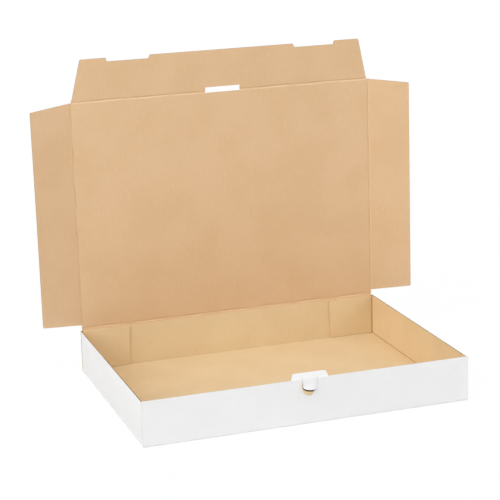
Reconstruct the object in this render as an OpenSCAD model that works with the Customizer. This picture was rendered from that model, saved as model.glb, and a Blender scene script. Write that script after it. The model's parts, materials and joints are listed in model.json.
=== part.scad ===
// Flat mailer box folded from one die-cut sheet of corrugated board, lid standing open.
// Millimetres, Z up, front wall towards -Y. The origin is the middle of the underside.

/* [Box] */
// Outside width along the front wall
box_width = 342; // [240:1:400]
// Outside depth from the front wall to the back wall
box_depth = 250; // [180:1:300]
// Outside height with the lid shut
closed_height = 49; // [40:0.5:70]
// Thickness of the corrugated board
board = 1.6; // [1.2:0.1:2]
// How far the side walls stop below the shut lid's top
side_wall_drop = 3; // [3:0.1:6]
// How far the front wall stops below the shut lid's top
front_wall_drop = 2.2; // [2.2:0.1:5]
// Outside radius of the tray's folds
bend_radius = 2.4; // [2.2:0.1:4]

/* [Corner flaps] */
// Length of each glued corner flap, from the outside of the side wall
corner_flap_length = 54.6; // [30:0.2:70]
// How far a corner flap's free edge slants, top to bottom
corner_flap_slant = 2; // [0:0.2:6]
// How much a corner flap's top edge falls towards its free end
corner_flap_fall = 1.4; // [0:0.1:4]
// Space between a corner flap and the bottom of the tray
corner_flap_lift = 0.8; // [0.4:0.1:2]

/* [Lid] */
// Lean of the open lid behind upright, in degrees
lid_lean = 0.6; // [0:0.1:5]
// Play between the shut lid's flaps and the walls they slide inside
lid_play = 0.4; // [0.3:0.05:1]

/* [Lid side flaps] */
// Reach of a side flap from its fold
side_flap_reach = 45.8; // [30:0.2:46]
// Slant of a side flap's ends, from the fold to the free edge
side_flap_slant = 4.7; // [2:0.1:10]
// Setback of a side flap from the lid's back fold
side_flap_setback = 3.6; // [3.6:0.1:8]
// Setback of a side flap from the lid's front fold
side_flap_front_setback = 0.9; // [0.6:0.1:4]
// Fold of the left flap from flat, in degrees
left_flap_fold = 13.3; // [5:0.1:20]
// Fold of the right flap from flat, in degrees
right_flap_fold = 26; // [5:0.1:26]
// Radius of the flaps' free corners
flap_corner_radius = 1.5; // [1:0.1:6]

/* [Tuck flap] */
// Reach of the tuck flap from its fold
tuck_reach = 45.2; // [30:0.2:46]
// Slant of the tuck flap's ends, from the fold to the free edge
tuck_slant = 10.4; // [4:0.2:20]
// Setback of the tuck flap's ends from the lid's side folds
tuck_setback = 2.2; // [2.2:0.1:5]
// Fold of the tuck flap from flat, in degrees
tuck_fold = 5.8; // [2:0.1:6]
// Middle of each notch in the free edge, from the flap's centre line
notch_offset = 104.2; // [60:0.2:110]
// Length of each notch along the free edge
notch_length = 48.4; // [20:0.2:52]
// Depth of each notch
notch_depth = 4; // [2:0.1:6]
// How far the notch ends slant
notch_slant = 1.8; // [0.5:0.1:4]

/* [Lock] */
// Length of the slot across the lid's front fold
slot_length = 39.6; // [39.6:0.2:50]
// Width of the slot on the lid's side of the fold
slot_lid_side = 1.6; // [1.2:0.1:3]
// Width of the slot on the tuck flap's side of the fold
slot_flap_side = 4.7; // [4.7:0.1:7]
// Radius of the slot's corners
slot_corner_radius = 0.8; // [0.4:0.1:1.2]
// Width of the locking tab's head at its fold
tab_width = 38.6; // [30:0.2:38.6]
// How much narrower the head is at its top than at its fold
tab_taper = 2.4; // [1:0.1:6]
// Height of the head above its fold
tab_height = 7; // [6:0.1:10]
// Radius of the head's top corners
tab_corner_radius = 3; // [2:0.1:5]
// Width of the thumb tongue below the fold
thumb_width = 16; // [12:0.2:20]
// Length of the thumb tongue below the fold
thumb_length = 11.2; // [10.2:0.1:12]
// Depth of the finger cut-out below the fold
finger_cut_depth = 17; // [16.6:0.2:26]
// Tilt of the locking tab, head inwards, in degrees
tab_tilt = 25; // [5:1:40]

/* [Hidden] */
$fn = 48;
// Steps in each rounded corner of the cut outline
arc_steps = 8;
// Half the clear line left at each fold
fold_gap = 0.15;
// Depth of the tab's fold below the front wall's top edge
tab_fold_drop = 0.3;
// Clear line of the cuts beside the tab and the thumb tongue
knife_cut = 0.5;
// Overshoot of the cutting solids
over = 1;
half_width = box_width / 2;
half_depth = box_depth / 2;
side_top = closed_height - side_wall_drop;
front_top = closed_height - front_wall_drop;
inner_bend = bend_radius - board;
// Flank of a fold's groove, cut at 45 degrees through the board
groove = board;
lid_width = box_width - 2 * board - 2 * lid_play;
lid_half = lid_width / 2;
lid_length = box_depth - 2 * board - lid_play;
tuck_half = lid_half - tuck_setback;
tuck_end_half = tuck_half - tuck_slant;
notch_half = notch_length / 2;
slot_half = slot_length / 2;
tab_half = tab_width / 2;
tab_top_half = tab_half - tab_taper / 2;
thumb_half = thumb_width / 2;
finger_half = thumb_half + knife_cut;
tab_fold = front_top - tab_fold_drop;
wall_span = box_depth - 2 * board - 2 * bend_radius;
floor_width = box_width - 2 * bend_radius;
floor_depth = box_depth - 2 * bend_radius;
flap_bottom = board + corner_flap_lift;
white_board = [0.95, 0.95, 0.94];
brown_board = [0.85, 0.7, 0.53];

function unit(v) = v / norm(v);

// The arc of radius r that rounds the corner v between its neighbours a and b.
function corner_arc(v, a, b, r) =
    let (
        da = unit(a - v),
        db = unit(b - v),
        half = acos(da * db) / 2,
        centre = v + unit(da + db) * r / sin(half),
        from = unit(v + da * r / tan(half) - centre),
        to = unit(v + db * r / tan(half) - centre)
    )
    [for (k = [0:arc_steps]) centre + r * unit(from + (to - from) * k / arc_steps)];

// A convex outline with the corners listed in which rounded to radius r.
module rounded_outline(p, which, r) {
    n = len(p);
    polygon([
        for (i = [0:n - 1])
            each len(search(i, which)) > 0
                ? corner_arc(p[i], p[(i + n - 1) % n], p[(i + 1) % n], r)
                : [p[i]]
    ]);
}

// A fold's quarter ring in the plane, its outer side towards -X and -Y.
module bend_profile() {
    translate([bend_radius, bend_radius]) intersection() {
        difference() {
            circle(r = bend_radius);
            circle(r = inner_bend);
        }
        translate([-bend_radius, -bend_radius]) square(bend_radius);
    }
}

// A wall standing on its bottom fold, in the plane: outside at 0, top at height h.
module wall_profile(h) {
    bend_profile();
    translate([0, bend_radius]) square([board, h - bend_radius]);
}

// The same wall with its top edge grooved for a lid fold at height h.
module hinge_wall_profile(h) {
    bend_profile();
    polygon([
        [0, bend_radius],
        [board, bend_radius],
        [board, h - fold_gap - groove],
        [0, h - fold_gap]
    ]);
}

// Stands a plane profile up and draws it along X: profile X goes to Y, profile Y goes to Z.
module along_x(span) {
    rotate([90, 0, 90]) linear_extrude(height = span, center = true) children();
}

// Draws a plane profile along Y: profile X stays, profile Y goes to Z.
module along_y(span) {
    rotate([90, 0, 0]) linear_extrude(height = span, center = true) children();
}

module front_wall() {
    translate([0, -half_depth, 0]) {
        along_x(floor_width) bend_profile();
        along_x(box_width) translate([0, bend_radius]) square([board, front_top - bend_radius]);
    }
}

module back_wall() {
    mirror([0, 1, 0]) translate([0, -half_depth, 0]) {
        along_x(floor_width) bend_profile();
        along_x(box_width) translate([0, bend_radius])
            square([board, side_top - bend_radius]);
        along_x(lid_width) hinge_wall_profile(closed_height);
    }
}

// One glued corner flap and the upright fold that joins it to its side wall, front left.
module corner_flap() {
    translate([-half_width, -half_depth + board, bend_radius])
        linear_extrude(height = side_top - bend_radius) bend_profile();
    translate([0, -half_depth + board + board / 2, 0]) along_y(board) polygon([
        [-half_width + bend_radius, flap_bottom],
        [-half_width + corner_flap_length - corner_flap_slant, flap_bottom],
        [-half_width + corner_flap_length, side_top - corner_flap_fall],
        [-half_width + bend_radius, side_top]
    ]);
}

module left_wall() {
    translate([-half_width, 0, 0]) along_y(wall_span) wall_profile(side_top);
    corner_flap();
    mirror([0, 1, 0]) corner_flap();
}

// The opening that frees the tab: the head's seat in the top edge and the finger cut-out.
module tab_opening() {
    translate([0, -half_depth, tab_fold]) {
        along_x(tab_width + 2 * knife_cut) polygon([
            [-over, -fold_gap],
            [0, -fold_gap],
            [board, -fold_gap - groove],
            [board + over, -fold_gap - groove],
            [board + over, over],
            [-over, over]
        ]);
        translate([0, board / 2, 0]) along_y(board + 2 * over) {
            translate([0, finger_half - finger_cut_depth]) circle(r = finger_half);
            translate([-finger_half, finger_half - finger_cut_depth])
                square([finger_width(), finger_cut_depth - finger_half + over]);
        }
    }
}

function finger_width() = 2 * finger_half;

module tray() {
    color(white_board) difference() {
        union() {
            translate([-floor_width / 2, -floor_depth / 2, 0])
                cube([floor_width, floor_depth, board]);
            front_wall();
            back_wall();
            left_wall();
            mirror([1, 0, 0]) left_wall();
        }
        tab_opening();
    }
}

// Puts its children in the lid's own frame: X along the hinge, Z up the lid, inside face at -board.
module on_lid() {
    translate([0, half_depth, closed_height]) rotate([-lid_lean, 0, 0]) children();
}

// The slot through the lid and the tuck flap when both lie flat, about the front fold.
module slot_cut() {
    along_y(2 * board + 2 * over) rounded_outline([
        [-slot_half, -slot_lid_side],
        [slot_half, -slot_lid_side],
        [slot_half, slot_flap_side],
        [-slot_half, slot_flap_side]
    ], [0, 1, 2, 3], slot_corner_radius);
}

module lid_panel() {
    color(brown_board) on_lid() difference() {
        intersection() {
            linear_extrude(height = lid_length) polygon([
                [-lid_half + fold_gap, 0],
                [lid_half - fold_gap, 0],
                [lid_half - fold_gap - groove, -board],
                [-lid_half + fold_gap + groove, -board]
            ]);
            along_x(lid_width) polygon([
                [0, fold_gap],
                [0, lid_length - fold_gap],
                [-board, lid_length - fold_gap - groove],
                [-board, fold_gap + groove]
            ]);
        }
        translate([0, 0, lid_length]) slot_cut();
    }
}

// A side flap lying flat, its fold on the Z axis and its reach along -X.
module flat_side_flap() {
    low = side_flap_setback;
    high = lid_length - side_flap_front_setback;
    intersection() {
        translate([0, -board / 2, 0]) along_y(board) rounded_outline([
            [0, low],
            [0, high],
            [-side_flap_reach, high - side_flap_slant],
            [-side_flap_reach, low + side_flap_slant]
        ], [2, 3], flap_corner_radius);
        linear_extrude(height = lid_length) polygon([
            [-fold_gap, 0],
            [-side_flap_reach - over, 0],
            [-side_flap_reach - over, -board],
            [-fold_gap - groove, -board]
        ]);
    }
}

module left_lid_flap() {
    color(brown_board) on_lid() translate([-lid_half, 0, 0])
        rotate([0, 0, left_flap_fold]) flat_side_flap();
}

module right_lid_flap() {
    color(brown_board) on_lid() translate([lid_half, 0, 0])
        rotate([0, 0, -right_flap_fold]) mirror([1, 0, 0]) flat_side_flap();
}

// One notch of the tuck flap's free edge, cut in from the flap's own edge.
module notch_outline() {
    polygon([
        [notch_offset - notch_half, tuck_reach],
        [notch_offset - notch_half + notch_slant, tuck_reach - notch_depth],
        [notch_offset + notch_half - notch_slant, tuck_reach - notch_depth],
        [notch_offset + notch_half, tuck_reach],
        [notch_offset + notch_half, tuck_reach + over],
        [notch_offset - notch_half, tuck_reach + over]
    ]);
}

module front_tuck_flap() {
    color(brown_board) on_lid() translate([0, 0, lid_length]) rotate([tuck_fold, 0, 0])
        difference() {
            intersection() {
                translate([0, -board / 2, 0]) along_y(board) difference() {
                    rounded_outline([
                        [-tuck_half, 0],
                        [tuck_half, 0],
                        [tuck_end_half, tuck_reach],
                        [-tuck_end_half, tuck_reach]
                    ], [2, 3], flap_corner_radius);
                    notch_outline();
                    mirror([1, 0]) notch_outline();
                }
                along_x(lid_width) polygon([
                    [0, fold_gap],
                    [0, tuck_reach + over],
                    [-board, tuck_reach + over],
                    [-board, fold_gap + groove]
                ]);
            }
            slot_cut();
        }
}

// The locking tab flat in the wall's plane, its fold on the X axis and its outside at 0.
module flat_tab() {
    tip_centre = thumb_half - thumb_length;
    difference() {
        translate([0, board / 2, 0]) along_y(board) {
            rounded_outline([
                [-tab_half, fold_gap],
                [tab_half, fold_gap],
                [tab_top_half, tab_height],
                [-tab_top_half, tab_height]
            ], [2, 3], tab_corner_radius);
            translate([-thumb_half, tip_centre]) square([thumb_width, fold_gap - tip_centre]);
            translate([0, tip_centre]) circle(r = thumb_half);
        }
        for (side = [-1, 1]) translate([side * (finger_half + tab_half) / 2, 0, 0])
            along_x(tab_half - finger_half + 2 * knife_cut) polygon([
                [0, fold_gap],
                [board + over, fold_gap + groove + over],
                [board + over, 0],
                [0, 0]
            ]);
    }
}

module locking_tab() {
    color(white_board) translate([0, -half_depth, tab_fold]) rotate([-tab_tilt, 0, 0]) flat_tab();
}

tray();
lid_panel();
left_lid_flap();
right_lid_flap();
front_tuck_flap();
locking_tab();
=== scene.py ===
# %% [markdown]
# # A flat mailer box, standing open
# The real box is one die-cut sheet of thin corrugated board: white paper outside, brown paper
# inside, and a fluted paper core that only shows where the board is cut. The solid model
# already has every panel, fold and hinge. This lesson dresses it: each panel becomes a finely
# gridded board with a white side, a brown side and a fluted cut edge, and each fold becomes a
# creased strip.

# %% Load the solid model
import json
import math
from collections import namedtuple

import bpy
import numpy as np
from mathutils import Matrix, Vector


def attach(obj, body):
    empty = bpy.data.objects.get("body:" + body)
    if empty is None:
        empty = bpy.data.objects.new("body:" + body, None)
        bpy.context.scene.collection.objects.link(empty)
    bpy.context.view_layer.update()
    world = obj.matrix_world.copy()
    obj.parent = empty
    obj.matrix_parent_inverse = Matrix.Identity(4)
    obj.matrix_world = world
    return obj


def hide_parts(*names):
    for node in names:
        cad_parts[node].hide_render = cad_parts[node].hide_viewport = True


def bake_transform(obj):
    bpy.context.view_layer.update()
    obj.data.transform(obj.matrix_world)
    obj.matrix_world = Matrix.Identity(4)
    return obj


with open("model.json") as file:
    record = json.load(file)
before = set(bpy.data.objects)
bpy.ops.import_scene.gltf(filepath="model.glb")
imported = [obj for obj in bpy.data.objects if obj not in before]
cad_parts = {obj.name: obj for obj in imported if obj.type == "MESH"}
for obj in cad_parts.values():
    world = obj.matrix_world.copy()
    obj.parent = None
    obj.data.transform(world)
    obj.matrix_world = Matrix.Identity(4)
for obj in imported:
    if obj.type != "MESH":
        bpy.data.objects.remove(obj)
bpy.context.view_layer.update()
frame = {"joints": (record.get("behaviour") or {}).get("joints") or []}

hinges = {joint["name"]: joint for joint in frame["joints"]}

# %% [markdown]
# ## Sizes
# Blender works in metres here, so the box's millimetres are multiplied by one small constant.
# The numbers are those of the solid model. Where a hinge already knows a place or a direction,
# it is read from the hinge, so the looks can't drift away from the joints.

# %% Sizes of the box
MM = 0.001
BOARD = 1.6 * MM  # thickness of the board
FLUTE = 3.3 * MM  # pitch of the core's waves
FOLD = 2.2 * MM  # half the width of a creased strip
BEND = 1.9 * MM  # outside radius of the tray's folds
HALF_W, HALF_D = 171 * MM, 125 * MM  # half the box's width and depth
SIDE_TOP, FRONT_TOP = 46 * MM, 46.8 * MM  # heights of the side walls and the front wall
LID_HALF, LID_LENGTH = 169 * MM, 246.4 * MM  # half the lid's width, and its length between folds
print("box %.0f x %.0f mm, board %.1f mm" % (2 * HALF_W / MM, 2 * HALF_D / MM, BOARD / MM))

# %% Directions and fold angles
hinge_point = np.array(hinges["lid_hinge"]["pos_m"])
along_hinge = np.array([1.0, 0.0, 0.0])
back = np.array([0.0, 1.0, 0.0])
up = np.array([0.0, 0.0, 1.0])
up_lid = np.array(hinges["left_flap_hinge"]["axis"])
into_lid = np.cross(along_hinge, up_lid)
LEAN = math.radians(hinges["lid_hinge"]["range_deg"][1] - 90)
FOLDED = {  # how far each flap stands folded from flat, from its hinge's own lower limit
    name: math.radians(-hinges[name]["range_deg"][0])
    for name in ("left_flap_hinge", "right_flap_hinge", "tuck_flap_hinge", "tab_hinge")
}
print("lid leans %.1f degrees back;" % math.degrees(LEAN),
      "folds:", {name: round(math.degrees(angle), 1) for name, angle in FOLDED.items()})

# %% [markdown]
# ## Camera
# A camera is a place, three directions and a focal length. It could be aimed at the box by hand,
# but these values were found by matching the straight edges of the box in the photograph: the
# view is from the front, a little to the left and above, with a long lens and a slight tilt. The
# lens is worked out for a square picture of 500 pixels on Blender's 36 mm wide sensor.

# %% Where the camera stands
AZIMUTH, ELEVATION, ROLL = (math.radians(x) for x in (-18.445, 14.667, -1.679))
LOOKS_AT, DISTANCE = Vector((-0.16041, -0.43199, 0.2684)), 1.30946
backward = Vector((math.sin(AZIMUTH) * math.cos(ELEVATION),
                   -math.cos(AZIMUTH) * math.cos(ELEVATION), math.sin(ELEVATION)))
level = (-backward).cross(Vector((0, 0, 1))).normalized()
upright = level.cross(-backward)
right = level * math.cos(ROLL) + upright * math.sin(ROLL)
top = upright * math.cos(ROLL) - level * math.sin(ROLL)
eye = LOOKS_AT + backward * DISTANCE
print("camera stands at", [round(x, 3) for x in eye])

# %% Camera
PICTURE, FOCAL_PIXELS = 500, 1730.19  # the picture's side and the focal length, in pixels
SENSOR = 36  # millimetres
lens = bpy.data.cameras.new("camera")
lens.sensor_width = SENSOR
lens.lens = FOCAL_PIXELS / PICTURE * SENSOR
lens.clip_start, lens.clip_end = 0.05, 50
camera = bpy.data.objects.new("camera", lens)
bpy.context.scene.collection.objects.link(camera)
camera.matrix_world = Matrix.Translation(eye) @ Matrix((right, top, backward)).transposed().to_4x4()
bpy.context.scene.camera = camera
print("lens %.1f mm" % lens.lens)

# %% [markdown]
# ## Writing shaders as sums
# A material is a graph of nodes, and long graphs are hard to read as code. A small class that
# holds one socket and answers to plus, minus and times lets the maths be written as maths, and
# one method places every other kind of node.

# %% A socket that does sums
class Wire:
    """One output socket. Sums with numbers or other wires add Math nodes to its tree."""

    def __init__(self, tree, socket=None):
        self.tree, self.socket = tree, socket

    def node(self, kind, settings=(), inputs=(), out=0):
        """Adds a node: its settings first, then its sockets' values or links; gives one output."""
        made = self.tree.nodes.new(kind)
        for name, value in dict(settings).items():
            setattr(made, name, value)
        for key, value in dict(inputs).items():
            if isinstance(value, Wire):
                self.tree.links.new(value.socket, made.inputs[key])
            else:
                made.inputs[key].default_value = value
        return Wire(self.tree, made.outputs[out])

    def feeds(self, node, socket):
        """Links this wire to a socket of a node that is already there."""
        self.tree.links.new(self.socket, node.inputs[socket])

    def sum(self, operation, *terms):
        """A Math node that does one operation on its terms."""
        return self.node("ShaderNodeMath", {"operation": operation}, enumerate(terms))

    def __add__(self, other):
        return self.sum("ADD", self, other)

    def __radd__(self, other):
        return self.sum("ADD", other, self)

    def __sub__(self, other):
        return self.sum("SUBTRACT", self, other)

    def __rsub__(self, other):
        return self.sum("SUBTRACT", other, self)

    def __mul__(self, other):
        return self.sum("MULTIPLY", self, other)

    def __rmul__(self, other):
        return self.sum("MULTIPLY", other, self)

    def __abs__(self):
        return self.sum("ABSOLUTE", self)

    def between(self, low, high):
        """0 below low, 1 above high, and a smooth ramp between them."""
        return self.node("ShaderNodeMapRange", {"interpolation_type": "SMOOTHSTEP"},
                         {"Value": self, "From Min": low, "From Max": high})

    def mix(self, first, second):
        """A colour that goes from first to second as this wire goes from 0 to 1.

        A Mix node has sockets of one name for each kind of data. Those for colour go by number."""
        return self.node("ShaderNodeMix", {"data_type": "RGBA"},
                         {0: self, 6: first, 7: second}, out=2)


def new_finish(name):
    """A material with its Principled shader, and a wire to start its sums from."""
    material = bpy.data.materials.new(name)
    material.use_nodes = True
    return material, material.node_tree.nodes["Principled BSDF"], Wire(material.node_tree)


print("shader sums ready")

# %% [markdown]
# ## Three papers
# Corrugated board has three faces to show. The **white liner** is bleached paper with a faint
# washboard where the glued flutes pull it in. The **brown liner** is the same paper unbleached:
# cloudy and flecked with darker and paler fibres. At a crease it gets painted shade on one flank and
# a painted highlight on the other, partly standing for paper crushed and rubbed by the rule. The
# tray's copy is painted a shade paler and yellower than the lid's, as painted light, and has painted
# shade in its creases and corners. The **cut edge** shows the two liners with the core's wave
# between them and painted shade in the hollows beside it. A picture of paper could be wrapped round
# the box, but it would blur up close. Noise and waves worked out at each point stay sharp. They read
# a UV map in metres, measured across and along the flutes on the flat sheet, so the pattern turns
# round each fold as the paper does.

# %% A paper liner
CLOUDS, SPECKS, FIBRES = 22, 420, 1100  # how fine the noise is: patches, flecks and fibres in a metre
DRAWN_OUT = (1.0, 0.3, 1.0)  # flecks and fibres are longer along the flutes than across them
WASHBOARD, FIBRE_HIGH, SPECK_HIGH = 0.005 * MM, 0.012 * MM, 0.008 * MM
PAPER_ROUGH = 0.88


def liner(name, plain, cloudy, dark, pale, flecking):
    """Paper liner: clouds between two tones, dark and pale flecks, a washboard of flutes.

    The washboard's height is WASHBOARD times sin(2 pi across / FLUTE). The crease attribute goes
    from 1, dark, to -1, pale: painted shade at creases and corners, and a painted highlight on a
    crease's other flank, partly standing for crush and rub."""
    material, shader, wire = new_finish(name)
    place = wire.node("ShaderNodeTexCoord", out="Object")
    sheet = wire.node("ShaderNodeUVMap", {"uv_map": "Board"})
    across = wire.node("ShaderNodeSeparateXYZ", inputs={0: sheet}, out="X")
    drawn = wire.node("ShaderNodeVectorMath", {"operation": "MULTIPLY"}, {0: sheet, 1: DRAWN_OUT})
    cloud = wire.node("ShaderNodeTexNoise", inputs={"Vector": place, "Scale": CLOUDS, "Detail": 3})
    fibre = wire.node("ShaderNodeTexNoise", inputs={"Vector": drawn, "Scale": FIBRES, "Detail": 2})
    speck = wire.node("ShaderNodeTexNoise", inputs={"Vector": drawn, "Scale": SPECKS, "Detail": 1})
    crease = wire.node("ShaderNodeAttribute", {"attribute_name": "crease"}, out="Fac")
    # crease marks: painted shade where the crease attribute is above 0, painted highlight where it is
    # below 0
    crushed = crease.between(0, 1) * (0.35 + 0.6 * fibre)
    rubbed = (0 - crease).between(0, 1) * (0.3 + 0.6 * fibre)
    tone = cloud.between(0.36, 0.64).mix(plain, cloudy)
    tone = (speck.between(0.6, 0.72) * flecking).mix(tone, dark)
    tone = ((1 - speck.between(0.28, 0.4)) * flecking).mix(tone, pale)
    tone = rubbed.mix(crushed.mix(tone, dark), pale)
    tone.feeds(shader, "Base Color")
    rough = PAPER_ROUGH - 0.1 * fibre + 0.05 * cloud
    rough.feeds(shader, "Roughness")
    wave = wire.sum("SINE", across * (2 * math.pi / FLUTE))
    height = wave * WASHBOARD + fibre * FIBRE_HIGH + speck * SPECK_HIGH
    bump = wire.node("ShaderNodeBump", inputs={"Strength": 1.0, "Distance": 1.0, "Height": height})
    bump.feeds(shader, "Normal")
    shader.inputs["Specular IOR Level"].default_value = 0.3
    return material


print("noise in a metre:", CLOUDS, SPECKS, FIBRES)

# %% The white and brown liners
def colour(red, green, blue):
    """A colour picked as 0 to 255 screen values, turned into the linear values shaders use.

    With c from 0 to 1, that is c / 12.92 where c is dark, and else ((c + 0.055) / 1.055) ^ 2.4."""
    c = np.array([red, green, blue]) / 255
    linear = np.where(c <= 0.04045, c / 12.92, ((c + 0.055) / 1.055) ** 2.4)
    return (*linear.tolist(), 1.0)


# each liner's dark and pale colours make its flecks, and also the painted shade and painted highlight
# at its creases
white_liner = liner("white_liner", plain=colour(238, 238, 238), cloudy=colour(236, 236, 236),
                    dark=colour(229, 228, 226), pale=colour(242, 242, 242), flecking=0.2)
lid_liner = liner("brown_liner", plain=colour(220, 186, 147), cloudy=colour(217, 182, 142),
                  dark=colour(202, 164, 120), pale=colour(238, 210, 173), flecking=0.12)
# the tray's liner is the lid's paper painted a shade paler and yellower, as painted light; its dark
# colour is also the painted shade in the tray's creases and corners
tray_liner_painted_light = liner("brown_tray_liner", plain=colour(230, 206, 166), cloudy=colour(227, 202, 161),
                   dark=colour(168, 122, 68), pale=colour(240, 217, 181), flecking=0.07)
print("liners:", white_liner.name, lid_liner.name, tray_liner_painted_light.name)

# %% The fluted cut edge
SWING, PUSHED = 0.32, 2.5  # how far the core swings to either side, and how far noise pushes it along
CRUSHES = 160  # how fine that noise is: crushed flutes in a metre
CORE_HIGH, CRUSH_HIGH = 0.15 * MM, 0.1 * MM
# HOLLOW is painted shade in the open flutes, and the near black colour is painted shade on cut edges
# where the crease attribute is high
CORE, HOLLOW, BLACK_EDGE_SHADE = colour(214, 182, 140), colour(112, 84, 54), colour(24, 20, 10)
WHITE_CUT, BROWN_CUT = colour(236, 235, 232), colour(222, 188, 146)


def cut_edge():
    """Cut edge: the white liner at a depth of 0, the brown liner at 1, and the core between them.

    The core lies at a half plus SWING times sin(2 pi across / FLUTE + PUSHED times noise), with
    painted shade in the hollows beside it. Where the crease attribute is near 1 the edge is painted
    near black, as painted shade."""
    material, shader, wire = new_finish("fluted_edge")
    place = wire.node("ShaderNodeTexCoord", out="Object")
    sheet = wire.node("ShaderNodeUVMap", {"uv_map": "Board"})
    across = wire.node("ShaderNodeSeparateXYZ", inputs={0: sheet}, out="X")
    depth = wire.node("ShaderNodeSeparateXYZ", inputs={0: sheet}, out="Y")
    crush = wire.node("ShaderNodeTexNoise", inputs={"Vector": place, "Scale": CRUSHES, "Detail": 2})
    crease = wire.node("ShaderNodeAttribute", {"attribute_name": "crease"}, out="Fac")
    wave = 0.5 + SWING * wire.sum("SINE", across * (2 * math.pi / FLUTE) + PUSHED * crush)
    core = 1 - abs(depth - wave).between(0.07, 0.2)
    tone = core.mix(HOLLOW, CORE)
    tone = depth.between(0.8, 0.88).mix(tone, BROWN_CUT)
    tone = (1 - depth.between(0.1, 0.2)).mix(tone, WHITE_CUT)
    # near black painted shade where the crease attribute is high: the tongue's rim, and cut edges at
    # strong creases and corners
    tone = crease.between(0.3, 1).mix(tone, BLACK_EDGE_SHADE)
    tone.feeds(shader, "Base Color")
    height = core * CORE_HIGH + crush * CRUSH_HIGH
    bump = wire.node("ShaderNodeBump", inputs={"Strength": 0.6, "Distance": 1.0, "Height": height})
    bump.feeds(shader, "Normal")
    shader.inputs["Roughness"].default_value = 0.95
    shader.inputs["Specular IOR Level"].default_value = 0.2
    return material


fluted_edge = cut_edge()
LID_PAPERS = [white_liner, lid_liner, fluted_edge]
TRAY_PAPERS = [white_liner, tray_liner_painted_light, fluted_edge]
WHITE, BROWN, EDGE = range(3)
print("papers of the lid:", [paper.name for paper in LID_PAPERS])

# %% [markdown]
# ## A piece of board
# Every panel is the same kind of thing: a sheet with a white face, a brown face a board's
# thickness behind it, and a cut edge round the rim. Blender can thicken a sheet with a modifier,
# but then all sides share one pattern. Two grids of points, one for each face, joined round
# their rims, give each side its own paper and keep the mesh closed. A die cuts some edges open
# and presses others shut, so an edge can show all of its pattern or only a stretch of it.

# %% Boards from two grids
WHOLE_CUT = (0.0, 1.0)  # the stretch of the cut edge's pattern that shows, from white to brown
PRESSED = (0.0, 0.16)  # the stretch left where the knife pressed the white liner over the core
SHARP = math.radians(35)  # edges that turn more than this are drawn sharp


def rim(grid):
    """The points round a grid's border, in order: first row, last column, last row, first column."""
    return np.concatenate([grid[0, :-1], grid[:-1, -1], grid[-1, :0:-1], grid[:0:-1, 0]])


class BoardMesh:
    """Collects boards, then writes them as one closed mesh with papers, a UV map and creases."""

    def __init__(self):
        self.points, self.quads, self.paper, self.uv, self.crease = [], [], [], [], []
        self.count = 0

    def add_quads(self, corners, paper, uv):
        """Keeps quads by their corners' numbers, with one paper and a UV place for each corner."""
        self.quads.append(corners.reshape(-1, 4) + self.count)
        self.paper.append(np.full(len(self.quads[-1]), paper))
        self.uv.append(uv.reshape(-1, 2))

    def board(self, outer, inner, sheet, crease=0.0, cut=WHOLE_CUT):
        """Adds the two faces and the cut edge between them.

        The white face has a quad for each cell of the outer grid, the brown face the same quads of
        the inner grid turned over, and the edge a quad for each step round the rim. sheet is a
        point's place (across, along) on the flat sheet in metres, and cut is the stretch of the
        edge's pattern that shows, one for all or one for each point."""
        shape = outer.shape[:2]
        behind = shape[0] * shape[1]  # from a white point's number to that of the brown one behind it
        index = np.arange(behind).reshape(shape)
        cells = np.stack([index[:-1, :-1], index[:-1, 1:], index[1:, 1:], index[1:, :-1]], -1)
        ring = rim(index)
        ahead = np.roll(ring, -1)
        edge = np.stack([ahead, ring, ring + behind, ahead + behind], -1)
        near, far = (np.stack([rim(sheet)[:, 0], rim(np.broadcast_to(share, shape))], -1)
                     for share in cut)
        edge_uv = np.stack([np.roll(near, -1, 0), near, far, np.roll(far, -1, 0)], 1)

        normal = np.cross(outer[:-1, 1:] - outer[:-1, :-1], outer[1:, :-1] - outer[:-1, :-1])
        if np.sum(normal * (outer - inner)[:-1, :-1]) <= 0:
            cells, edge, edge_uv = cells[..., ::-1], edge[:, ::-1], edge_uv[:, ::-1]
        flat = sheet.reshape(-1, 2)
        turned_over = cells[..., ::-1]
        self.add_quads(cells, WHITE, flat[cells.reshape(-1)])
        self.add_quads(turned_over + behind, BROWN, flat[turned_over.reshape(-1)])
        self.add_quads(edge, EDGE, edge_uv)
        self.points += [outer.reshape(-1, 3), inner.reshape(-1, 3)]
        self.crease += [np.broadcast_to(crease, shape).reshape(-1)] * 2
        self.count += 2 * behind

    def object(self, name, papers):
        """Writes the collected boards into a mesh object at the origin."""
        points, quads = np.concatenate(self.points), np.concatenate(self.quads)
        mesh = bpy.data.meshes.new(name)
        mesh.from_pydata(points.tolist(), [], quads.tolist())
        mesh.polygons.foreach_set("material_index", np.concatenate(self.paper).astype(np.int32))
        mesh.uv_layers.new(name="Board").data.foreach_set(
            "uv", np.concatenate(self.uv).astype(np.float32).ravel())
        mesh.attributes.new("crease", "FLOAT", "POINT").data.foreach_set(
            "value", np.concatenate(self.crease).astype(np.float32))
        for paper in papers:
            mesh.materials.append(paper)
        mesh.shade_smooth()
        mesh.set_sharp_from_angle(angle=SHARP)
        mesh.update()
        made = bpy.data.objects.new(name, mesh)
        bpy.context.scene.collection.objects.link(made)
        print("%s: %d faces" % (name, len(quads)))
        return made


print("board maker ready")

# %% [markdown]
# ## The tray's front, bottom and back
# On the real sheet these three are one strip, folded up twice. They could be three slabs, but
# then the folds would be sharp. Seen from the end, wall, fold and bottom are one line with round
# corners, so the strip is that line carried along the width. The front wall's top edge isn't
# straight: it dips under the locking tab and drops into a round-ended finger cut, so its height
# is a function of the place along the wall.

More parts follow.
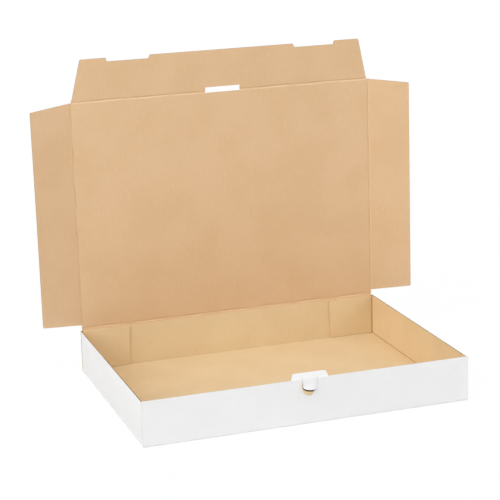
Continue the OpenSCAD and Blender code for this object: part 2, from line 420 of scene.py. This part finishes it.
# %% Top edges of the front and back walls
LID_AXIS, TAB_FOLD = hinge_point[2], hinges["tab_hinge"]["pos_m"][2]  # heights of their folds
TAB_HALF, THUMB_HALF = 19.3 * MM, 8 * MM  # half the widths of the tab's head and its thumb tongue
SLIT, KNIFE = 0.12 * MM, 0.2 * MM  # the fine cuts at the ends of the head, and round the tongue
FINGER_HALF, FINGER_DEPTH = THUMB_HALF + KNIFE, 17 * MM
FINGER_RISE, RISE_BY = 3.0 * MM, 4.1 * MM  # on its right the finger cut is less deep, and from where


def front_edge(x):
    """Top of the front wall: level, lower beside the tab's folds, a half circle at the thumb.

    Right of the middle the half circle rises by FINGER_RISE times (x / RISE_BY) squared, as far
    as x = RISE_BY."""
    away = np.abs(x)
    seat = np.where(away < TAB_HALF + SLIT, TAB_FOLD - FOLD, FRONT_TOP)
    round_end = FINGER_HALF - np.sqrt(np.maximum(FINGER_HALF ** 2 - x ** 2, 0))
    rise = FINGER_RISE * np.clip(x / RISE_BY, 0, 1) ** 2
    return np.where(away < FINGER_HALF, TAB_FOLD - FINGER_DEPTH + round_end + rise, seat)


def back_edge(x):
    """Top of the back wall: up to the lid's crease, lower beyond the lid's ends."""
    return np.where(np.abs(x) < LID_HALF, LID_AXIS - FOLD, SIDE_TOP)


print("finger cut from %.1f mm down to %.1f mm" % (FRONT_TOP / MM, front_edge(0.0) / MM))

# %% Places along an edge
SLIVER = 0.01 * MM  # how close a break lies to the step in an edge that it marks
CELL = 5 * MM  # size of a grid cell on a large panel
ROUND_POINTS, JUST_INSIDE = 25, 1 - 1e-4  # the points across a round end stay off its very sides


def steps(low, high, size, *breaks):
    """Even steps from low to high of about this size, with extra stops at the breaks."""
    count = max(2, int(round((high - low) / size)) + 1)
    return np.unique(np.round(np.concatenate([np.linspace(low, high, count), breaks]), 7))


def both(value):
    """A break just inside and just outside a value, on both sides of the middle."""
    return [side * (value + offset) for side in (-1, 1) for offset in (-SLIVER, SLIVER)]


def round_places(half):
    """Places across a round end, closer towards its sides: half sin t, t from -90 to 90 degrees."""
    return half * np.sin(np.linspace(-math.pi / 2, math.pi / 2, ROUND_POINTS)) * JUST_INSIDE


wall_x = steps(-HALF_W, HALF_W, CELL, *both(TAB_HALF + SLIT), *both(FINGER_HALF),
               *round_places(FINGER_HALF), *both(LID_HALF))
print("front wall:", len(wall_x), "places along it")

# %% A line with round corners
FADE = 1.3 * MM  # how far a tray crease's painted shade reaches along the flat board
TURN_POINTS, BOTTOM_CELL = 10, 6 * MM


def folded_line(start, heading, runs, cell):
    """A line of straight runs with a quarter turn to the left between them, its inside on the left.

    Gives the points, the directions to the inside, the distance gone, and a crease strength:
    1 round each turn, and 1 - d / FADE at a distance d along a straight run beside it."""
    here, angle = np.array(start, float), math.radians(heading)
    points, inside = [here[None]], [[[-math.sin(angle), math.cos(angle)]]]
    crease = [[0.0 if runs[0] > 0 else 1.0]]
    for number, run in enumerate(runs):
        if number:
            turns = angle + np.linspace(0, math.pi / 2, TURN_POINTS)[1:]
            centre = here + BEND * np.array([-math.sin(angle), math.cos(angle)])
            points.append(centre + BEND * np.stack([np.sin(turns), -np.cos(turns)], -1))
            inside.append(np.stack([-np.sin(turns), np.cos(turns)], -1))
            crease.append(np.ones(len(turns)))
            here, angle = points[-1][-1], angle + math.pi / 2
        if run > 0:
            gone = steps(0, run, cell, FADE, run - FADE)[1:, None]
            from_last = gone[:, 0] if number else np.full(len(gone), run)
            to_next = run - gone[:, 0] if number < len(runs) - 1 else np.full(len(gone), run)
            points.append(here + gone * np.array([math.cos(angle), math.sin(angle)]))
            inside.append(np.repeat([[-math.sin(angle), math.cos(angle)]], len(gone), 0))
            crease.append(np.clip(1 - np.minimum(from_last, to_next) / FADE, 0, 1))
            here = points[-1][-1]
    points = np.concatenate(points)
    gone = np.concatenate([[0], np.cumsum(np.linalg.norm(np.diff(points, axis=0), axis=1))])
    return points, np.concatenate(inside), gone, np.concatenate(crease)


line, inside, gone, fold_shade = folded_line((-HALF_D, BEND), -90, (0, 2 * (HALF_D - BEND), 0), BOTTOM_CELL)
print("bottom and its two folds: %.1f mm of board" % (gone[-1] / MM))

# %% Front wall, bottom and back wall
BELT_FOLD_SHADE, WALL_ROWS = 0.3, 11  # how much painted shade the two folds get inside, and the rows of a wall's grid
WALL_SHARES = steps(0, 1, 1 / WALL_ROWS, FADE / (SIDE_TOP - BEND))[:, None]  # the rows' heights
front_z = BEND + WALL_SHARES[:0:-1] * (front_edge(wall_x) - BEND)
back_z = BEND + WALL_SHARES[1:] * (back_edge(wall_x) - BEND)


def belt(front, middle, rear):
    """One grid: the front wall's rows, a row for each of the line's values, the back wall's rows."""
    return np.concatenate([np.broadcast_to(front, front_z.shape),
                           np.repeat(middle[:, None], len(wall_x), 1),
                           np.broadcast_to(rear, back_z.shape)])


# Round its bends the strip narrows by BEND (1 - cos a), with sin a = 1 - z / BEND, so that it meets
# the side walls' own folds.
sine = 1 - line[:, 1] / BEND
wide = 1 - BEND * (1 - np.sqrt(np.maximum(1 - sine ** 2, 0))) / HALF_W
x = wall_x * belt(1, wide, 1)
outer = np.stack([x, belt(-HALF_D, line[:, 0], HALF_D), belt(front_z, line[:, 1], back_z)], -1)
inwards = np.stack([0 * x, belt(1, inside[:, 0], -1), belt(0, inside[:, 1], 0)], -1)
sheet = np.stack([x, belt(BEND - front_z, gone, gone[-1] + back_z - BEND)], -1)
tray_mesh = BoardMesh()
# the two folds' crease values are painted shade inside
tray_mesh.board(outer, outer + BOARD * inwards, sheet, BELT_FOLD_SHADE * belt(0, fold_shade, 0), PRESSED)
print("front, bottom and back:", tray_mesh.count, "points")

# %% [markdown]
# ## The tray's side walls and glued corner flaps
# Each side wall is a strip that turns twice: a flap glued inside the back wall, the wall itself,
# and a flap glued inside the front wall. It could be three slabs, but the paper goes round the
# corners unbroken. From above the strip is a line with two round corners, so that line is carried
# upwards. The flaps' free edges slant and their tops fall a little, which a small shift of the
# flap's own points gives. A quarter-round fold joins each wall to the bottom.

# %% Side walls with their corner flaps
GLUED, GLUED_SLANT, GLUED_FALL = 54.6 * MM, 2 * MM, 1.4 * MM  # a flap's length, and how it is cut
SIDE_RUN = 2 * (HALF_D - BOARD - BEND)
BRUSHED = 0.9  # where the edge's pattern starts on a glued flap, with the brown liner over the core
SIDE_FOLD_SHADE, CORNER_SHADE = 0.9, 1.0  # how much painted shade the bottom folds and the corners get inside
FOOT_SHADE = 1.0  # how much more painted shade a corner gets at its foot than at its top


def side_wall(mesh, side):
    """A side wall with its two corner flaps: side is -1 for the left wall and 1 for the right.

    The line seen from above is carried from BEND to the top. On a flap, share goes from 0 at the
    corner to 1 at the free end, the top falls by GLUED_FALL times share, and the foot is drawn back
    by GLUED_SLANT times share. The wall's foot gets painted shade from the fold under it, as
    1 - d / FADE at a height d, and the corners get painted shade, more towards their feet."""
    line, inside, gone, fold_shade = folded_line((-HALF_W + GLUED, HALF_D - BOARD), 180,
                                           (GLUED - BEND, SIDE_RUN, GLUED - BEND), CELL)
    share = np.clip((line[:, 0] + HALF_W - BEND) / (GLUED - BEND), 0, 1)
    z = BEND + WALL_SHARES * (SIDE_TOP - GLUED_FALL * share - BEND)
    x = line[:, 0] - GLUED_SLANT * share * (1 - WALL_SHARES)
    outer = np.stack([-side * x, np.broadcast_to(line[:, 1], z.shape), z], -1)
    inwards = np.stack([-side * inside[:, 0], inside[:, 1], 0 * gone], -1)
    sheet = np.stack([z, np.broadcast_to(gone, z.shape)], -1)
    foot = np.where(share > 0, 0, np.clip(1 - WALL_SHARES * (SIDE_TOP - BEND) / FADE, 0, 1))
    # painted shade in the corners, more at their feet, and along the wall's foot
    corner = CORNER_SHADE * fold_shade * (1 + FOOT_SHADE * (1 - WALL_SHARES))
    cut = (np.where(share > 0, BRUSHED, WHOLE_CUT[0]), WHOLE_CUT[1])
    mesh.board(outer, outer + BOARD * inwards, sheet, np.maximum(corner, SIDE_FOLD_SHADE * foot), cut)


print("glued flaps: %.1f mm long" % (GLUED / MM))

# %% Bottom folds, and the whole tray
FOLD_POINTS = 45


def side_fold(mesh, side):
    """The quarter-round fold between the bottom and a side wall, carried from front to back."""
    line, inside, gone, fold_shade = folded_line((-HALF_W, BEND), -90, (0, 0), CELL)
    run = np.linspace(-1, 1, FOLD_POINTS) * (HALF_D - BOARD)
    x, y = np.meshgrid(-side * line[:, 0], run, indexing="ij")
    outer = np.stack([x, y, np.repeat(line[:, 1:], len(run), 1)], -1)
    inwards = np.stack([-side * inside[:, 0], 0 * gone, inside[:, 1]], -1)[:, None]
    sheet = np.stack([np.repeat(-gone[:, None], len(run), 1), y], -1)
    # painted shade along the bottom fold
    mesh.board(outer, outer + BOARD * inwards, sheet, SIDE_FOLD_SHADE * fold_shade[:, None])


for side in (-1, 1):
    side_wall(tray_mesh, side)
    side_fold(tray_mesh, side)
tray = tray_mesh.object("tray_board", TRAY_PAPERS)
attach(tray, "tray")
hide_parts("tray")

# %% [markdown]
# ## The lid and its three flaps
# The lid is a plain rectangle. A side flap narrows towards its free edge and has two rounded
# corners, so its two ends are functions of the distance from the fold. The tuck flap is the
# other way round: its free edge has two shallow notches and its root has the lock slot, so its
# root and its free edge are functions of the place along the fold. Cutting these shapes out of a
# slab would leave ragged faces, while a grid that follows the edges stays even. Large panels are
# never quite flat: each one bows by a fraction of a millimetre, and not at all along its folds.

# %% A flat panel
def panel(name, body, node, corner, ways, x, y, bow, across, crease=0.0, slope=0.0):
    """A flat panel with a slight bow, as a board that rides on its body and replaces its node.

    A point is corner + x ways[0] + y ways[1] + bow ways[2], where ways are the panel's two own
    directions and the direction to its brown side. slope is how fast the bow grows along y: the
    brown face lies square behind the white one, along ways[2] minus slope times ways[1]."""
    outer = corner + x[..., None] * ways[0] + y[..., None] * ways[1] + bow[..., None] * ways[2]
    slope = np.broadcast_to(slope, x.shape)[..., None]
    square = (ways[2] - slope * ways[1]) / np.sqrt(1 + slope ** 2)
    mesh = BoardMesh()
    mesh.board(outer, outer + BOARD * square, np.stack([across, y], -1), crease)
    made = mesh.object(name, LID_PAPERS)
    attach(made, body)
    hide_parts(node)


print("panels are %.1f mm thick" % (BOARD / MM))

# %% Lid panel
SETBACK, FRONT_SETBACK = 3.6 * MM, 0.9 * MM  # where a side flap starts and stops along the lid
SLOT_HALF = 19.8 * MM  # half the lock slot's width
SLOT_LOW, SLOT_HIGH = 1.6 * MM, 4.7 * MM  # how far it reaches below and above the tuck flap's fold
LID_BOW, LID_COLUMNS = 0.5 * MM, 34  # how far the lid bows, and the grid columns in half of it
BETWEEN_FOLDS = LID_HALF - FOLD

lid_y = steps(FOLD, LID_LENGTH - FOLD, CELL, SETBACK - SLIVER, SETBACK + SLIVER)
half = np.where(lid_y < SETBACK, LID_HALF, BETWEEN_FOLDS)
share = steps(-1, 1, 1 / LID_COLUMNS, *(np.array(both(SLOT_HALF)) / BETWEEN_FOLDS))
at_slot = np.abs(share) * BETWEEN_FOLDS < SLOT_HALF
top_edge = LID_LENGTH - np.where(at_slot, SLOT_LOW, FOLD)
x = share * half[:, None]
y = FOLD + (lid_y[:, None] - FOLD) / (LID_LENGTH - 2 * FOLD) * (top_edge - FOLD)
bow = -LID_BOW * np.cos(x / LID_HALF * math.pi / 2) * np.sin(y / LID_LENGTH * math.pi)
panel("lid_board", "lid", "lid_panel", hinge_point,
      (along_hinge, up_lid, into_lid), x, y, bow, x)

# %% Rounded corners, rows and turned directions
def corner_places(end, radius, count):
    """Places along a rounded corner: end - radius (1 - sin t), t from 0 to 90 degrees."""
    return end - radius * (1 - np.sin(np.linspace(0, math.pi / 2, count)))


def corner_drop(to_end, radius):
    """How far a rounded corner falls back at a distance e from its end: r - sqrt(r^2 - (r - e)^2)."""
    short = radius - np.clip(to_end, 0, radius)
    return radius - np.sqrt(radius ** 2 - short ** 2)


def stretch(low, high, count):
    """Rows of a panel between a low and a high edge: (1 - v) low + v high, v from 0 to 1."""
    v = np.linspace(0, 1, count)[:, None]
    return (1 - v) * low + v * high


def turned(first, second, angle):
    """Two square directions turned, first towards second: f cos + s sin, and s cos - f sin."""
    return (first * np.cos(angle) + second * np.sin(angle),
            second * np.cos(angle) - first * np.sin(angle))


print("a 1 mm corner drops by", corner_drop(np.array([0, 0.5, 1]), 1).round(2))

# %% Side flaps
REACH, SLANT, ROUND = 45.8 * MM, 4.7 * MM, 1.5 * MM  # how far out a flap goes, and how it is cut
FLAP_CURL = 0.35 * MM
FLAP_CELL, FLAP_ROWS, CORNER_POINTS = 4 * MM, 49, 8  # the grid


def side_flap(name, body, node, hinge, side):
    """A side flap: both ends draw in by SLANT over its REACH and round off at the free corners."""
    outwards, inward = turned(side * along_hinge, into_lid, FOLDED[hinge])
    reach = steps(FOLD, REACH - ROUND, FLAP_CELL, *corner_places(REACH, ROUND, CORNER_POINTS))
    drawn_in = SLANT * reach / REACH + corner_drop(REACH - reach, ROUND)
    y = stretch(SETBACK + drawn_in, LID_LENGTH - FRONT_SETBACK - drawn_in, FLAP_ROWS)
    x = np.broadcast_to(reach, y.shape)
    curl = FLAP_CURL * (x / REACH) ** 2 * np.cos((y / LID_LENGTH - 0.5) * math.pi)
    panel(name, body, node, hinge_point + side * LID_HALF * along_hinge,
          (outwards, up_lid, inward), x, y, curl, side * (LID_HALF + x))


side_flap("left_flap_board", "left_flap", "left_lid_flap", "left_flap_hinge", -1)
side_flap("right_flap_board", "right_flap", "right_lid_flap", "right_flap_hinge", 1)

# %% Tuck flap
TUCK, TUCK_HALF, TUCK_SLANT = 45.2 * MM, 166.8 * MM, 10.4 * MM  # reach, half width, slant of its ends
TUCK_END = TUCK_HALF - TUCK_SLANT  # half the width at the free edge
NOTCH_AT, NOTCH_HALF = 104.2 * MM, 24.2 * MM  # a notch's place from the middle, and half its width
NOTCH_DEEP, NOTCH_SLANT = 4 * MM, 1.8 * MM
TUCK_CURL, TUCK_ROWS = 0.3 * MM, 14

tuck_root = hinge_point + LID_LENGTH * up_lid
tuck_up, tuck_in = turned(up_lid, into_lid, FOLDED["tuck_flap_hinge"])
bend = corner_places(TUCK_END, ROUND, CORNER_POINTS)
notch = np.array([NOTCH_AT + s * (NOTCH_HALF - d) for s in (-1, 1) for d in (0, NOTCH_SLANT)])
slot_x = TUCK_END / TUCK_HALF * np.array(both(SLOT_HALF))
along = steps(-TUCK_END, TUCK_END, CELL, *bend, *-bend, *notch, *-notch, *slot_x)
in_notch = np.clip((NOTCH_HALF - np.abs(np.abs(along) - NOTCH_AT)) / NOTCH_SLANT, 0, 1)
free_edge = TUCK - NOTCH_DEEP * in_notch - corner_drop(TUCK_END - np.abs(along), ROUND)
root_edge = np.where(np.abs(along) < SLOT_HALF * TUCK_END / TUCK_HALF, SLOT_HIGH, FOLD)
y = stretch(root_edge, free_edge, TUCK_ROWS)
x = along * (TUCK_HALF - TUCK_SLANT * y / TUCK) / TUCK_END
curl = TUCK_CURL * (y / TUCK) ** 2 * np.cos(x / TUCK_HALF * math.pi / 2)
panel("tuck_flap_board", "tuck_flap", "front_tuck_flap", tuck_root,
      (along_hinge, tuck_up, tuck_in), x, y, curl, x)

# %% [markdown]
# ## The locking tab
# The tab is a see-saw cut from the front wall: a rounded head above its fold goes through the
# lid's slot, and a round thumb tongue below the fold swings out so that a finger can lift it.
# Its top and bottom are functions of the place along the fold, like the tuck flap's. A thumb has
# bent this tongue out on its left, while its right side stays in the wall, and the tongue's rim is
# painted near black as painted shade. The bend could be sculpted by hand, but as a cubic of the
# distance from the fold it stays smooth.

# %% Outline of the tab
TAB_HIGH, TAB_ROUND, TAB_TAPER = 7 * MM, 3 * MM, 1.2 * MM
THUMB_LONG, THUMB_END = 11.2 * MM, 3.5 * MM  # the tongue's length, and how much is its oval end
TAB_CELL, TAB_ROWS, SHOULDER_POINTS = 2 * MM, 14, 9

fold = FOLDED["tab_hinge"]
tab_root = np.array(hinges["tab_hinge"]["pos_m"])
tab_up, tab_in = turned(up, back, fold)
shoulder = corner_places(TAB_HALF, TAB_ROUND, SHOULDER_POINTS)
along = steps(-TAB_HALF, TAB_HALF, TAB_CELL, *round_places(THUMB_HALF), *both(THUMB_HALF),
              *shoulder, *-shoulder)
away = np.abs(along)
thumb = THUMB_LONG - THUMB_END * (1 - np.sqrt(np.maximum(1 - (along / THUMB_HALF) ** 2, 0)))
cut_off = (TAB_FOLD - front_edge(along) - KNIFE) * math.cos(fold)  # where the finger cut ends it
thumb = np.minimum(thumb, cut_off)
head = TAB_HIGH - corner_drop(TAB_HALF - away, TAB_ROUND)
y = stretch(np.where(away < THUMB_HALF, -thumb, FOLD), head, TAB_ROWS)
x = along * (1 - TAB_TAPER / TAB_HALF * np.clip(y / TAB_HIGH, 0, 1))
print("tab from %.1f to %.1f mm about its fold" % (y.min() / MM, y.max() / MM))

# %% Locking tab with its bent tongue
THUMB_CURL = 2.5 * MM  # how far the tip curls out of the tab's own plane on its left

# With t the share of the tongue's length and b how far it is bent, the bow is the wall's own plane,
# t THUMB_LONG tan(fold), less b t^3 (THUMB_LONG tan(fold) + THUMB_CURL). slope is its rate along y.
below = np.maximum(-y, 0)
tip = below / THUMB_LONG
bent = 1 - np.clip((x / THUMB_HALF + 1) / 2, 0, 1) ** 2  # 0 on the right, which stays in the wall
bow = below * math.tan(fold) * (1 - bent * tip ** 2) - THUMB_CURL * bent * tip ** 3
slope = 3 * bent * tip ** 2 * (math.tan(fold) + THUMB_CURL / THUMB_LONG) - math.tan(fold)
rim_shade = np.zeros(y.shape)
rim_shade[0] = away < THUMB_HALF  # the tongue's cut rim gets near black painted shade
panel("tab_board", "tab", "locking_tab", tab_root,
      (along_hinge, tab_up, tab_in), x, y, bow, x, rim_shade, np.where(y < 0, slope, 0))

# %% [markdown]
# ## Creased folds
# A fold in board is a line crushed by a blunt rule: a groove with two low lips on the brown
# side, and a slight ridge on the white side. The groove is what draws the fold in a picture,
# because one flank faces the light and the other turns away from it. The colour adds painted shade
# on one flank and a painted highlight on the other, partly standing for paper crushed and rubbed by
# the rule. Flutes give way unevenly, so the groove wanders and its depth changes along the fold. A
# dark line could be painted on instead, but it wouldn't catch the light. Each fold is a narrow strip
# whose cross section is turned a little at a time from one panel to the next.

# %% Ripples, bells, and painted shade and highlight
GROOVE, LIP, RIDGE = 0.8 * MM, 0.05 * MM, 0.12 * MM  # depth and heights
GROOVE_HALF, LIP_AT, LIP_HALF = 0.95 * MM, 1.7 * MM, 0.45 * MM
CRUSH_SHADE_AT, RUB_HIGHLIGHT_AT, MARK_HALF = 0.7 * MM, 1.1 * MM, 0.8 * MM  # the painted shade and the painted highlight beside it
MEAN_DEPTH = 0.7  # the groove's depth before its ripples, as a share of GROOVE
DEPTH_WAVES = ((0.25, 47 * MM, 1), (0.12, 17.3 * MM, 2), (0.08, 7.1 * MM, 1))
MIDDLE_WAVES = ((0.2 * MM, 61 * MM, 3), (0.1 * MM, 11.7 * MM, 1))
# groove depth, painted shade on one flank, painted highlight on the other (partly crush and rub), and
# the highlight's side
WearAndShade = namedtuple("WearAndShade", "depth crushed rubbed rubbed_side")


def ripple(along, seed, waves):
    """A sum of sines along a fold, each given as (size, length, how many seeds its phase is)."""
    return sum(size * np.sin(2 * math.pi * along / length + seeds * seed)
               for size, length, seeds in waves)


def hump(c, middle, half):
    """A bell of height 1: exp(-((c - middle) / half)^2)."""
    return np.exp(-((c - middle) / half) ** 2)


print("groove %.1f mm deep between lips %.1f mm apart" % (GROOVE / MM, 2 * LIP_AT / MM))

# %% Strips of creased board
STRIP_ROWS, STRIP_CELL = 33, 1.5 * MM


def fold_strip(name, axis_point, fold_way, ways, angle, spans, seed, wear_and_shade,
               cut=WHOLE_CUT):
    """A crease about the line through axis_point along fold_way, from one body to the next.

    ways are the first panel's direction across the fold and the direction to its brown side.
    Across the strip c goes from -FOLD to FOLD, and each point is turned about the line by angle
    times smoothstep(c). The brown side sinks by a bell at the groove and rises by a bell at each
    lip. The groove's depth and its middle follow slow ripples along the fold. The tuple before cut
    says how deep the groove is, how much painted shade its crushed flank gets and how much painted
    highlight its rubbed flank, which is the first panel's flank where its side is -1 and the second
    panel's where it is 1."""
    c = np.linspace(-FOLD, FOLD, STRIP_ROWS)[:, None]
    share = (c + FOLD) / (2 * FOLD)
    across, inward = turned(*ways, (angle * share * share * (3 - 2 * share))[..., None])
    window = 1 - (c / FOLD) ** 6  # 0 where the strip meets a panel
    up_the_lid = abs(fold_way[0]) < 0.5  # there the flutes run along the fold
    mesh = BoardMesh()
    for low, high in spans:
        along = np.linspace(low, high, max(5, int((high - low) / STRIP_CELL)))[None]
        depth = window * (MEAN_DEPTH + ripple(along, seed, DEPTH_WAVES))
        middle = ripple(along, seed, MIDDLE_WAVES)
        groove = hump(c, middle, GROOVE_HALF)
        lips = hump(c, middle - LIP_AT, LIP_HALF) + hump(c, middle + LIP_AT, LIP_HALF)
        line = axis_point + along[..., None] * fold_way + c[..., None] * across
        outer = line - RIDGE * (window ** 2)[..., None] * inward
        thick = BOARD + depth * (LIP * lips - wear_and_shade.depth * GROOVE * groove)
        # painted shade on one flank and painted highlight on the other
        dark = wear_and_shade.crushed * hump(c, middle - wear_and_shade.rubbed_side * CRUSH_SHADE_AT, MARK_HALF)
        pale = wear_and_shade.rubbed * hump(c, middle + wear_and_shade.rubbed_side * RUB_HIGHLIGHT_AT, MARK_HALF)
        sheet = np.stack(np.broadcast_arrays(*((c, along) if up_the_lid else (along, c))), -1)
        mesh.board(outer, line + thick[..., None] * inward, sheet, depth * (dark - pale), cut)
    made = mesh.object(name, LID_PAPERS)
    end = axis_point + FOLD * turned(*ways, angle)[0]
    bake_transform(made)


print("strips %.1f mm wide" % (2 * FOLD / MM))

# %% The five folds
fold_strip("lid_fold", hinge_point, along_hinge, (up, -back), -LEAN,
           spans=[(-LID_HALF, LID_HALF)], seed=1.3,
           wear_and_shade=WearAndShade(depth=0.5, crushed=0.3, rubbed=1.2, rubbed_side=-1))
for side, name, crushed in ((-1, "left_flap", 1.2), (1, "right_flap", 0.7)):
    fold_strip(name + "_fold", hinge_point + side * LID_HALF * along_hinge,
               up_lid, (side * along_hinge, into_lid), FOLDED[name + "_hinge"],
               spans=[(SETBACK, LID_LENGTH - FRONT_SETBACK)], seed=2.1 + side,
               wear_and_shade=WearAndShade(depth=0.8, crushed=crushed, rubbed=1.1, rubbed_side=1))
fold_strip("tuck_flap_fold", tuck_root, along_hinge,
           (up_lid, into_lid), FOLDED["tuck_flap_hinge"],
           spans=[(-TUCK_HALF, -SLOT_HALF), (SLOT_HALF, TUCK_HALF)], seed=0.4,
           wear_and_shade=WearAndShade(depth=0.9, crushed=0.9, rubbed=1.4, rubbed_side=-1))
fold_strip("tab_fold", tab_root, along_hinge, (up, back),
           FOLDED["tab_hinge"], spans=[(-TAB_HALF, -FINGER_HALF), (FINGER_HALF, TAB_HALF)], seed=0.9,
           wear_and_shade=WearAndShade(depth=0.9, crushed=0.5, rubbed=0.5, rubbed_side=1), cut=(0.0, PRESSED[1] / 2))

# %% [markdown]
# ## Floor, world and light
# The box stands on a plain white floor in very soft, even light, as for a catalogue. The world
# lights it from all round at a plain level, and four large softboxes, one above, two in front and
# one behind, tell its walls apart. Brighter lamps could whiten the background, but they would
# bleach the board too. So rays that go straight to the camera, or by way of a shiny or clear
# surface, see a white world. The floor is white to them too, but near the box it keeps part of
# its shading, so the box has its shadow and the far floor has no edge.

# %% Floor
FLOOR_HALF, FLOOR_Z = 6.0, -0.2 * MM
FLOOR_WHITE = 0.965  # how much of the floor near the box is plain white, and not shaded
SHADOW_NEAR, SHADOW_FAR = 0.35, 1.1  # the distances over which the floor's shading fades away
PURE_WHITE, FLOOR_GREY = (1, 1, 1, 1), (0.92, 0.92, 0.92, 1)


def seen_straight(wire):
    """1 for rays from the camera, or through glass or gloss, and 0 for rays that carry light."""
    camera_ray, glossy_ray, clear_ray = (wire.node("ShaderNodeLightPath", out="Is %s Ray" % kind)
                                         for kind in ("Camera", "Glossy", "Transmission"))
    return wire.sum("MAXIMUM", camera_ray, wire.sum("MAXIMUM", glossy_ray, clear_ray))


corners = FLOOR_HALF * np.array([(-1, -1), (1, -1), (1, 1), (-1, 1)])
floor_mesh = bpy.data.meshes.new("floor")
floor_mesh.from_pydata(np.pad(corners, ((0, 0), (0, 1)), constant_values=FLOOR_Z).tolist(), [],
                       [(0, 1, 2, 3)])
floor = bpy.data.objects.new("floor", floor_mesh)
bpy.context.scene.collection.objects.link(floor)

pale_floor, shader, wire = new_finish("pale_floor")
pale_floor.node_tree.nodes.remove(shader)
matt = wire.node("ShaderNodeBsdfDiffuse", inputs={"Color": FLOOR_GREY})
glow = wire.node("ShaderNodeEmission", inputs={"Color": PURE_WHITE, "Strength": 1.0})
place = wire.node("ShaderNodeTexCoord", out="Object")
away = wire.node("ShaderNodeVectorMath", {"operation": "LENGTH"}, {0: place}, out="Value")
whiteness = FLOOR_WHITE + (1 - FLOOR_WHITE) * away.between(SHADOW_NEAR, SHADOW_FAR)
shown = wire.node("ShaderNodeMixShader", inputs={0: seen_straight(wire) * whiteness, 1: matt, 2: glow})
shown.feeds(pale_floor.node_tree.nodes["Material Output"], "Surface")
floor_mesh.materials.append(pale_floor)
print("floor %.0f m wide" % (2 * FLOOR_HALF))

# %% World
WORLD_LIGHT = 0.26
world = bpy.data.worlds.new("studio")
bpy.context.scene.world = world
world.use_nodes = True
wire = Wire(world.node_tree)
all_round = wire.node("ShaderNodeBackground", inputs={"Color": PURE_WHITE, "Strength": WORLD_LIGHT})
backdrop = wire.node("ShaderNodeBackground", inputs={"Color": PURE_WHITE, "Strength": 1.0})
shown = wire.node("ShaderNodeMixShader", inputs={0: seen_straight(wire), 1: all_round, 2: backdrop})
shown.feeds(world.node_tree.nodes["World Output"], "Surface")
print("world lights at", WORLD_LIGHT)

# %% Lamps
LAMP_TO = Vector((0, 0, 0.1))
LAMPS = {  # where each square softbox hangs, its side in metres and its power in watts
    "top": (Vector((0.0, -0.3, 2.2)), 1.8, 18.0),
    "front_left": (Vector((-1.9, -1.0, 1.2)), 1.8, 33.5),
    "front_right": (Vector((1.6, -1.6, 1.0)), 1.7, 17.0),
    "behind": (Vector((0.6, 1.8, 1.0)), 1.7, 20.0),
}
for name, (place, size, watts) in LAMPS.items():
    softbox = bpy.data.lights.new(name, "AREA")
    softbox.shape, softbox.size, softbox.energy = "SQUARE", size, watts
    lamp = bpy.data.objects.new(name, softbox)
    bpy.context.scene.collection.objects.link(lamp)
    lamp.location = place
    lamp.rotation_mode = "QUATERNION"
    lamp.rotation_quaternion = (LAMP_TO - place).to_track_quat("-Z", "Y")
    print("lamp", name, watts, "W")
bpy.context.scene.view_settings.view_transform = "Standard"
